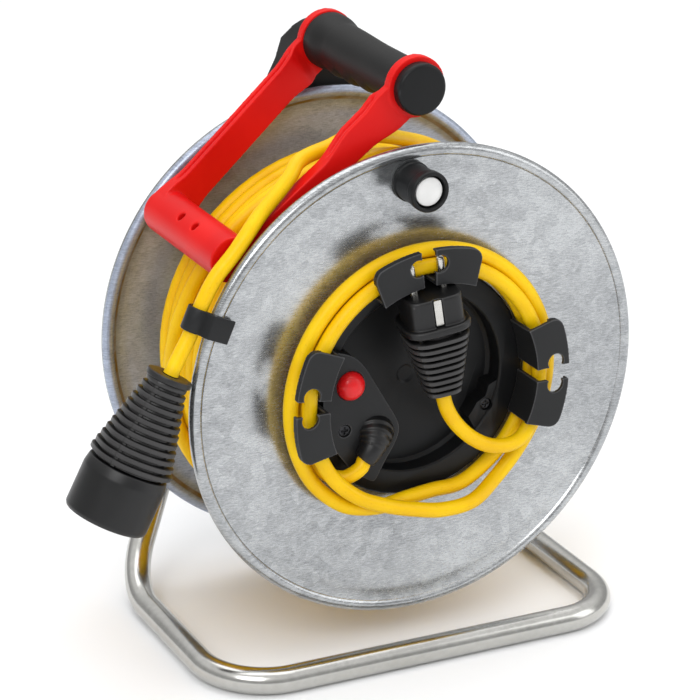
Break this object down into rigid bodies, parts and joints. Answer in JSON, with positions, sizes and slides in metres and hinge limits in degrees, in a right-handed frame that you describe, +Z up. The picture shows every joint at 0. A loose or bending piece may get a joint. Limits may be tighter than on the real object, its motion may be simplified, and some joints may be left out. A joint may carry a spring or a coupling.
{
  "type": "extension cord reel",
  "caption": "Cable reel: sheet steel drum on a bent tube stand with a hand grip, cable guide, wound extension cord, parked plug and coupler.",
  "frame": {"origin": "centre of the footprint on the floor, cords, plug and coupler left out", "axes": "+Z up, the drum turns about the Y axis, and the side with the plug and the winding knob faces -Y"},
  "size_m": [0.3617, 0.1999, 0.3595],
  "materials": {
    "galvanised": "galvanised sheet, satin with a fine spangle",
    "bright_tube": "bright plated tube, fine drawn grain",
    "zinc_steel": "zinc plated, satin",
    "black_plastic": "moulded, satin",
    "grey_plastic": "moulded, satin",
    "red_plastic": "moulded, half gloss",
    "white_plastic": "smooth",
    "black_rubber": "moulded, satin",
    "yellow_cable": "smooth sheath",
    "nickel": "nickel plated"
  },
  "bodies": {
    "stand": {"stand_tube": "bright_tube", "rear_bracket": "zinc_steel", "bracket_bolt_1": "zinc_steel", "bracket_bolt_2": "zinc_steel", "bracket_bolt_3": "zinc_steel", "bracket_bolt_4": "zinc_steel", "bracket_nut_1": "zinc_steel", "bracket_nut_2": "zinc_steel", "bracket_nut_3": "zinc_steel", "bracket_nut_4": "zinc_steel", "axle": "zinc_steel", "axle_nut": "zinc_steel", "axle_clip": "zinc_steel", "handle_apex": "black_plastic", "grip_bar": "zinc_steel", "grip_sleeve": "black_plastic", "grip_cap": "black_plastic", "cable_guide": "red_plastic", "free_cord": "yellow_cable", "coupler_boot": "black_rubber", "coupler_body": "black_rubber", "coupler_face": "grey_plastic", "coupler_earth_front": "nickel", "coupler_earth_rear": "nickel"},
    "drum": {"front_disc": "galvanised", "rear_disc": "galvanised", "drum_barrel": "galvanised", "cable_core": "yellow_cable", "cable_winding": "yellow_cable", "front_bush": "white_plastic", "rear_bush": "white_plastic", "rear_hub": "black_plastic", "hub_plate": "black_plastic", "control_cover": "grey_plastic", "cutout_switch": "black_plastic", "strain_relief": "black_rubber", "hub_screw_left": "zinc_steel", "hub_screw_right": "zinc_steel", "cord_clip_top_a": "grey_plastic", "cord_clip_top_b": "grey_plastic", "cord_clip_left_a": "grey_plastic", "cord_clip_left_b": "grey_plastic", "cord_clip_right_a": "grey_plastic", "cord_clip_right_b": "grey_plastic", "knob_pin": "zinc_steel", "rim_clip": "black_plastic", "lead_start": "yellow_cable", "lead_coil": "yellow_cable", "lead_end": "yellow_cable", "plug_boot": "black_rubber", "plug_body": "black_rubber", "plug_earth_front": "nickel", "plug_earth_rear": "nickel", "plug_pin_left": "nickel", "plug_pin_right": "nickel"},
    "knob": {"winding_knob": "black_plastic", "knob_cap": "white_plastic"},
    "reset_button": {"reset_button": "red_plastic"}
  },
  "joints": [
    {"name": "drum_spin", "type": "hinge", "parent": "stand", "child": "drum", "pos_m": [0, 0, 0.167], "axis": [0, 1, 0], "continuous": true, "deforming": ["free_cord"]},
    {"name": "knob_spin", "type": "hinge", "parent": "drum", "child": "knob", "pos_m": [-0.00981, -0.0641, 0.29161], "axis": [0, 1, 0], "continuous": true},
    {"name": "reset_press", "type": "slide", "parent": "drum", "child": "reset_button", "axis": [0, 1, 0], "range_m": [0, 0.0025], "stiffness_N_per_m": 400, "springref_m": -0.002}
  ]
}
